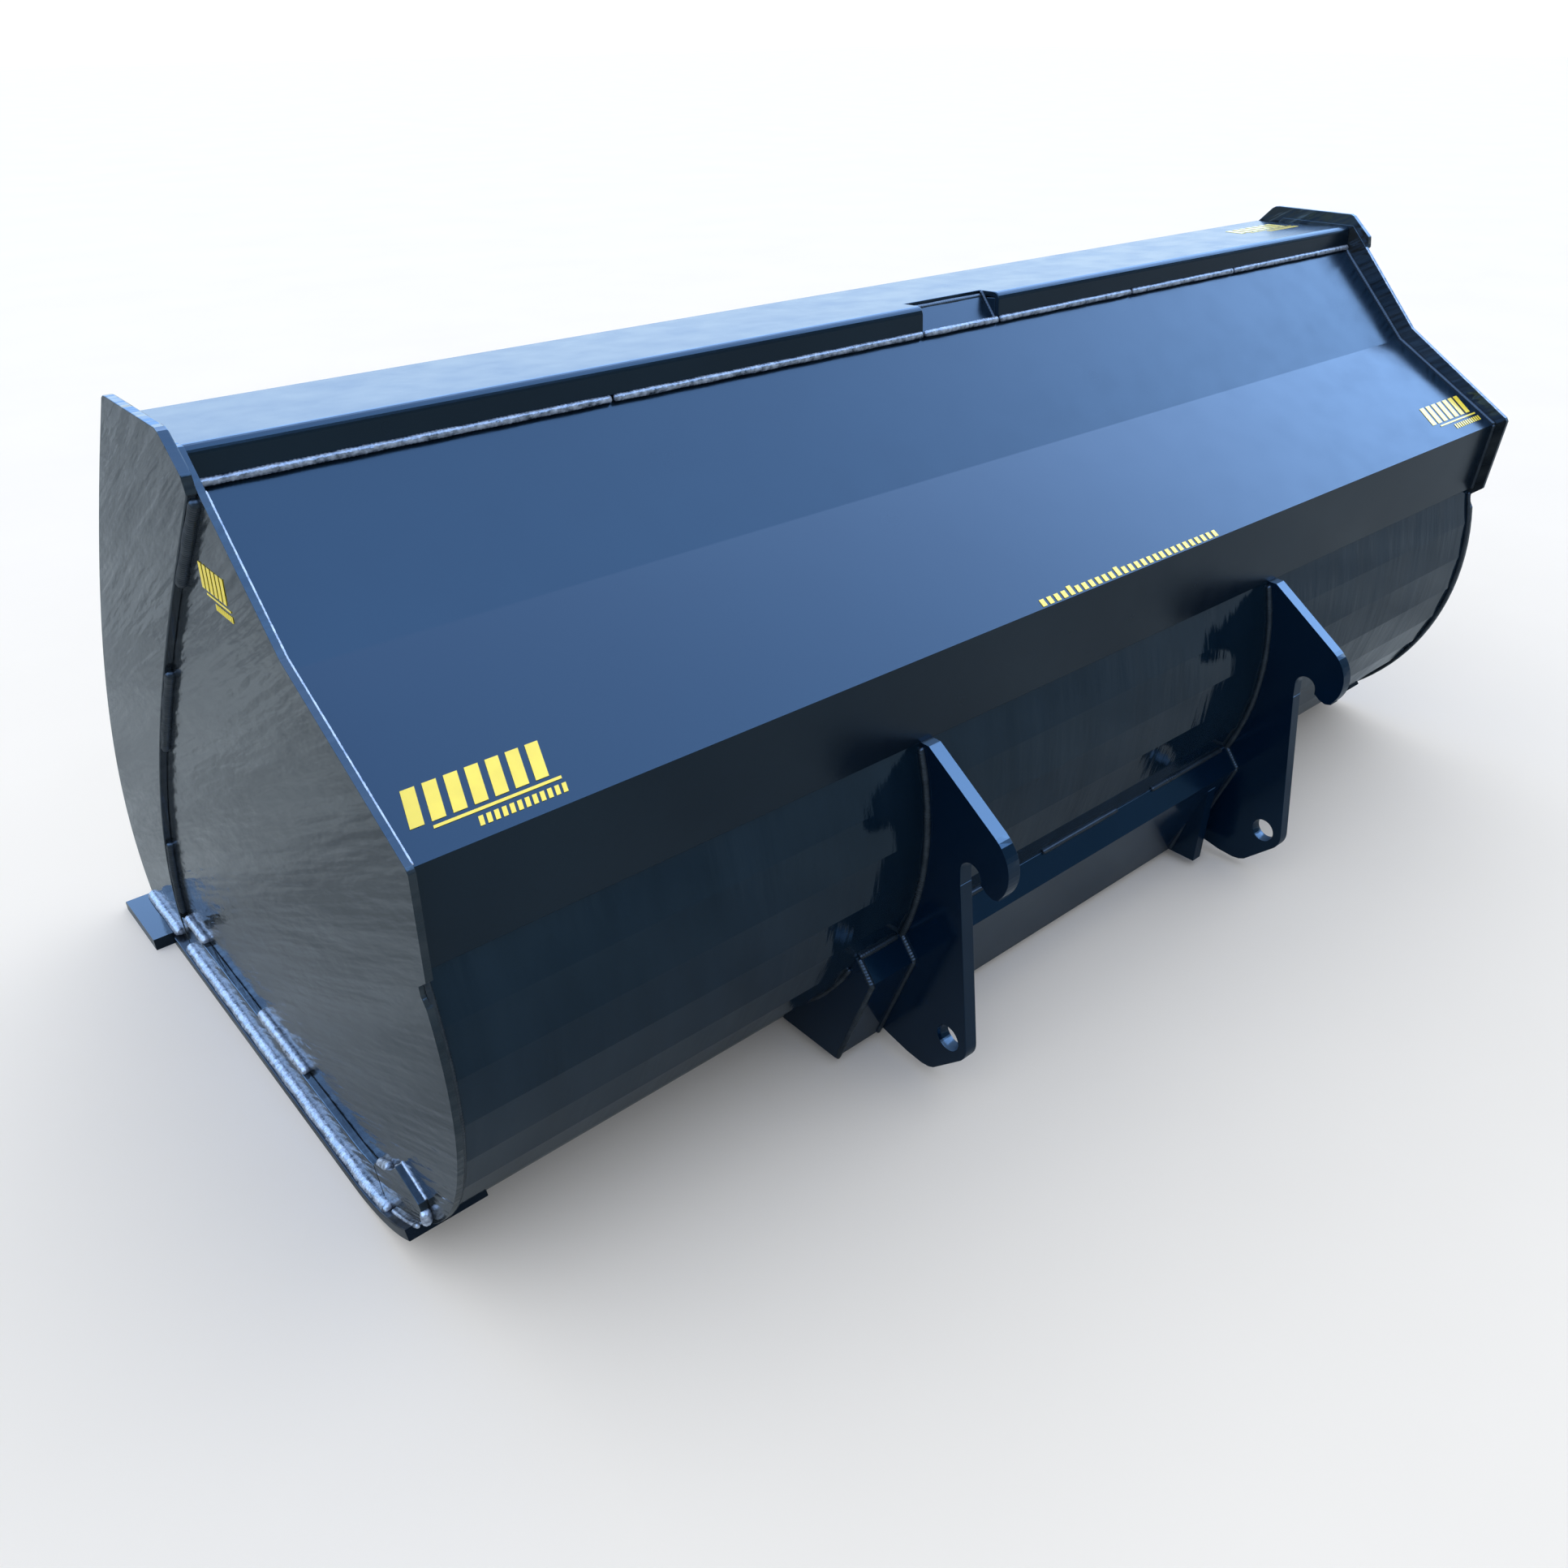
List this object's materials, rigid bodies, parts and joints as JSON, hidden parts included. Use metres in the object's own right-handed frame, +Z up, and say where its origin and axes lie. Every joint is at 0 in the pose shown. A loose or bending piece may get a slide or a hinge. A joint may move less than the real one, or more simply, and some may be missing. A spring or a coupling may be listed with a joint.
{
  "type": "loader bucket",
  "caption": "Welded open loader bucket with a rolled heel, straight cutting edge, curved side cutters and pin-hook plates on its back.",
  "frame": {"origin": "under the middle of the bucket, on the surface it rests on", "axes": "+X along the width to the machine operator's left, with both halves mirror images about X = 0; -Y out of the mouth, +Y towards the machine, +Z up"},
  "size_m": [2.743, 1.6999, 1.236],
  "materials": {
    "edge_steel": "gloss black paint over a thick steel edge",
    "sheet_paint": "gloss black paint over bent sheet steel",
    "side_paint": "gloss black paint with light orange peel",
    "runner_paint": "gloss black paint",
    "hook_paint": "gloss black paint over thick flame-cut plate",
    "weld_paint": "gloss black paint over rippled weld beads",
    "decal": "plain yellow vinyl bars on the dark paint, with no text"
  },
  "bodies": {
    "root": {"cutting_edge": "edge_steel", "wrapper_sheet": "sheet_paint", "upper_back_sheet": "sheet_paint", "top_rail": "sheet_paint", "rail_gusset_left": "sheet_paint", "rail_gusset_right": "sheet_paint", "side_plate_left": "side_paint", "side_plate_right": "side_paint", "side_cutter_left": "side_paint", "side_cutter_right": "side_paint", "side_strip_left": "side_paint", "side_strip_right": "side_paint", "heel_strip_left": "side_paint", "heel_strip_right": "side_paint", "skid_runner_left": "runner_paint", "skid_runner_right": "runner_paint", "hook_plate_left": "hook_paint", "hook_plate_right": "hook_paint", "heel_brace": "hook_paint", "brace_cap_left": "hook_paint", "brace_cap_right": "hook_paint", "foot_gusset_left": "hook_paint", "foot_gusset_right": "hook_paint"}
  },
  "joints": []
}
